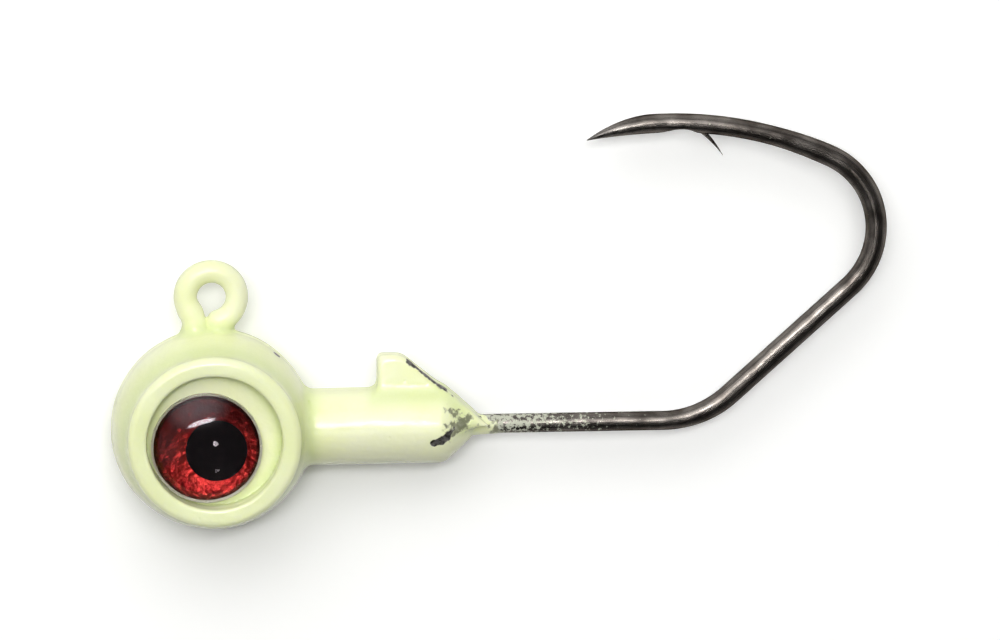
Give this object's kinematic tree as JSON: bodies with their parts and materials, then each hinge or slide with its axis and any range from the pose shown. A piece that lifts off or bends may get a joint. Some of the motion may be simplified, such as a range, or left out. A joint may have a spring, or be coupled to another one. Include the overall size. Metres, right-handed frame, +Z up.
{
  "type": "jig head",
  "caption": "Ball-head fishing jig with flattened eyed sides, collar, bait keeper, line-tie ring and a long sickle hook with barb.",
  "frame": {"origin": "middle of the bounding box at the surface that the jig lies on, under the plane of the hook", "axes": "+X from the nose of the head to the bend of the hook, +Y to the line-tie and point side, +Z up out of the left side of the head"},
  "size_m": [0.0424, 0.0226, 0.0083],
  "materials": {
    "black_nickel_wire": "gloss",
    "cast_lead": "matte",
    "glow_powder_coat": "gloss",
    "eye_adhesive": "satin",
    "red_foil": "satin",
    "pupil_black": "satin",
    "clear_lens": "gloss"
  },
  "bodies": {
    "root": {"jig_hook": "black_nickel_wire", "lead_head": "cast_lead", "powder_coat": "glow_powder_coat", "left_eye_adhesive": "eye_adhesive", "right_eye_adhesive": "eye_adhesive", "left_iris_foil": "red_foil", "right_iris_foil": "red_foil", "left_pupil": "pupil_black", "right_pupil": "pupil_black", "left_eye_lens": "clear_lens", "right_eye_lens": "clear_lens"}
  },
  "joints": []
}
